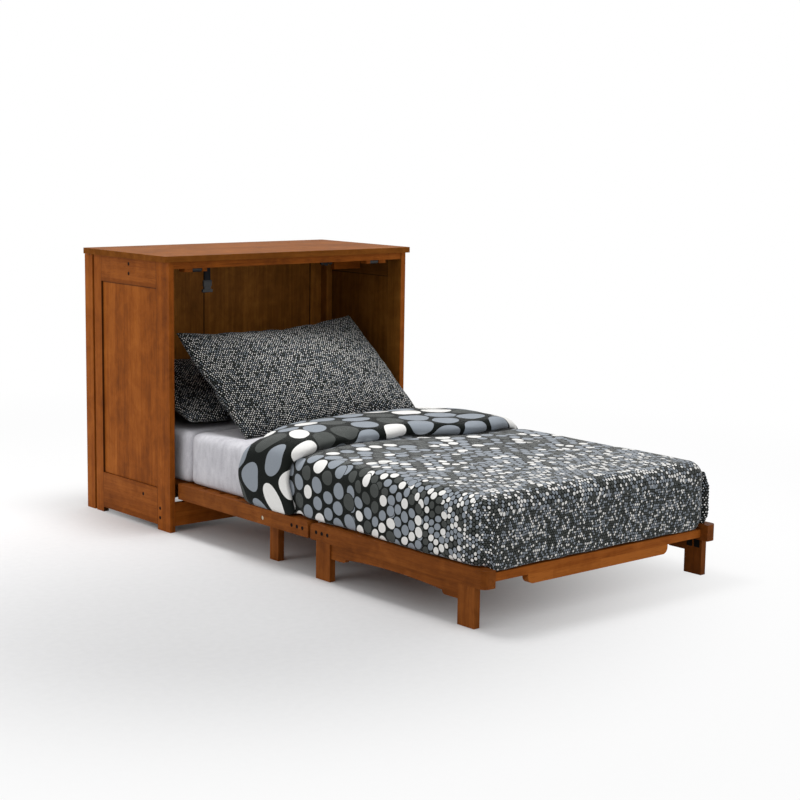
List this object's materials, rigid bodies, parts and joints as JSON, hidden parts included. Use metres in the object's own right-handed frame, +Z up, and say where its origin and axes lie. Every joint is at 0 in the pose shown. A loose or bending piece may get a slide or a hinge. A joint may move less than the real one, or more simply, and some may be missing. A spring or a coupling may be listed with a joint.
{
  "type": "wall bed",
  "caption": "Chest-height wooden cabinet whose slatted bed frame folds out of the front on hinges, with legs that drop down, a mattress, pillows and a duvet.",
  "frame": {"origin": "floor level, under the middle of the whole bed as it stands open", "axes": "+Z up, +Y from the bed's foot toward the back of the cabinet, +X to the right seen from the foot"},
  "size_m": [1.135, 2.173, 0.991],
  "materials": {
    "wood": "clear satin varnish on solid softwood",
    "dark_wood": "clear satin varnish, in the cabinet's shade",
    "black_steel": "black, satin",
    "pale_bolt": "plated",
    "roller_plastic": "moulded black",
    "webbing": "woven black webbing",
    "sheet": "heather grey jersey",
    "dotted_cotton": "black cotton with grey and off-white dots"
  },
  "bodies": {
    "cabinet": {"top_panel": "wood", "left_stiles": "wood", "right_stiles": "wood", "left_rails": "wood", "right_rails": "wood", "left_panel": "wood", "right_panel": "wood", "back_boards": "dark_wood", "back_battens": "wood", "hanger_rail": "dark_wood", "front_top_rail": "wood", "mid_rail": "wood", "mid_rail_blocks": "wood", "toe_rail": "dark_wood", "deck_slats": "wood", "deck_cleats": "dark_wood", "catch_left": "wood", "catch_right": "wood", "roller_pins": "black_steel", "straps": "webbing", "buckles": "roller_plastic", "side_screws": "black_steel", "mattress_head": "sheet", "pillow_front": "dotted_cotton", "pillow_back": "dotted_cotton"},
    "roller_left": {"roller_left": "roller_plastic"},
    "roller_right": {"roller_right": "roller_plastic"},
    "front_panel": {"front_panel_stiles": "wood", "front_panel_rails": "wood", "front_panel_field": "wood"},
    "near_section": {"near_rail_left": "wood", "near_rail_right": "wood", "near_cross_rails": "wood", "near_slats": "wood", "pivot_arms": "black_steel", "near_hinge_plates": "black_steel", "near_screws": "black_steel", "near_bolts": "pale_bolt", "mid_leg_leaves": "black_steel", "mattress_mid": "sheet", "duvet": "dotted_cotton"},
    "mid_leg_left": {"mid_leg_left": "wood", "mid_hinge_left": "black_steel"},
    "mid_leg_right": {"mid_leg_right": "wood", "mid_hinge_right": "black_steel"},
    "far_section": {"far_rail_left": "wood", "far_rail_right": "wood", "foot_rail": "wood", "foot_board": "wood", "far_slats": "wood", "far_hinge_plates": "black_steel", "far_screws": "black_steel", "leg_panel_leaves": "black_steel", "mattress_foot": "sheet"},
    "leg_panel_left": {"legs_left": "wood", "apron_left": "wood", "leg_hinges_left": "black_steel"},
    "leg_panel_right": {"legs_right": "wood", "apron_right": "wood", "leg_hinges_right": "black_steel"}
  },
  "joints": [
    {"name": "near_fold", "type": "hinge", "parent": "cabinet", "child": "near_section", "pos_m": [0, 0.5245, 0.13], "axis": [-1, 0, 0], "range_deg": [0, 90], "deforming": ["mattress_head", "pillow_front", "pillow_back", "duvet", "straps", "buckles"]},
    {"name": "far_fold", "type": "hinge", "parent": "near_section", "child": "far_section", "pos_m": [0, -0.2625, 0.1095], "axis": [1, 0, 0], "range_deg": [0, 180]},
    {"name": "mid_leg_left_fold", "type": "hinge", "parent": "near_section", "child": "mid_leg_left", "pos_m": [-0.4626, 0, 0.1217], "axis": [0, -1, 0], "range_deg": [0, 90]},
    {"name": "mid_leg_right_fold", "type": "hinge", "parent": "near_section", "child": "mid_leg_right", "pos_m": [0.4626, 0, 0.1217], "axis": [0, 1, 0], "range_deg": [0, 90]},
    {"name": "leg_panel_left_fold", "type": "hinge", "parent": "far_section", "child": "leg_panel_left", "pos_m": [-0.4992, 0, 0.1217], "axis": [0, -1, 0], "range_deg": [0, 90]},
    {"name": "leg_panel_right_fold", "type": "hinge", "parent": "far_section", "child": "leg_panel_right", "pos_m": [0.4992, 0, 0.1217], "axis": [0, 1, 0], "range_deg": [0, 90]},
    {"name": "roller_left_spin", "type": "hinge", "parent": "cabinet", "child": "roller_left", "pos_m": [-0.411, 0.5515, 0.939], "axis": [1, 0, 0], "continuous": true},
    {"name": "roller_right_spin", "type": "hinge", "parent": "cabinet", "child": "roller_right", "pos_m": [0.411, 0.5515, 0.939], "axis": [1, 0, 0], "continuous": true},
    {"name": "front_panel_lift", "type": "slide", "parent": "cabinet", "child": "front_panel", "axis": [0, 1, 0], "range_m": [0, 0.3]}
  ],
  "couplings": [
    {"joint": "far_fold", "follows": "near_fold", "ratio": 2},
    {"joint": "mid_leg_left_fold", "follows": "near_fold", "ratio": 1},
    {"joint": "mid_leg_right_fold", "follows": "near_fold", "ratio": 1},
    {"joint": "leg_panel_left_fold", "follows": "near_fold", "ratio": 1},
    {"joint": "leg_panel_right_fold", "follows": "near_fold", "ratio": 1}
  ]
}
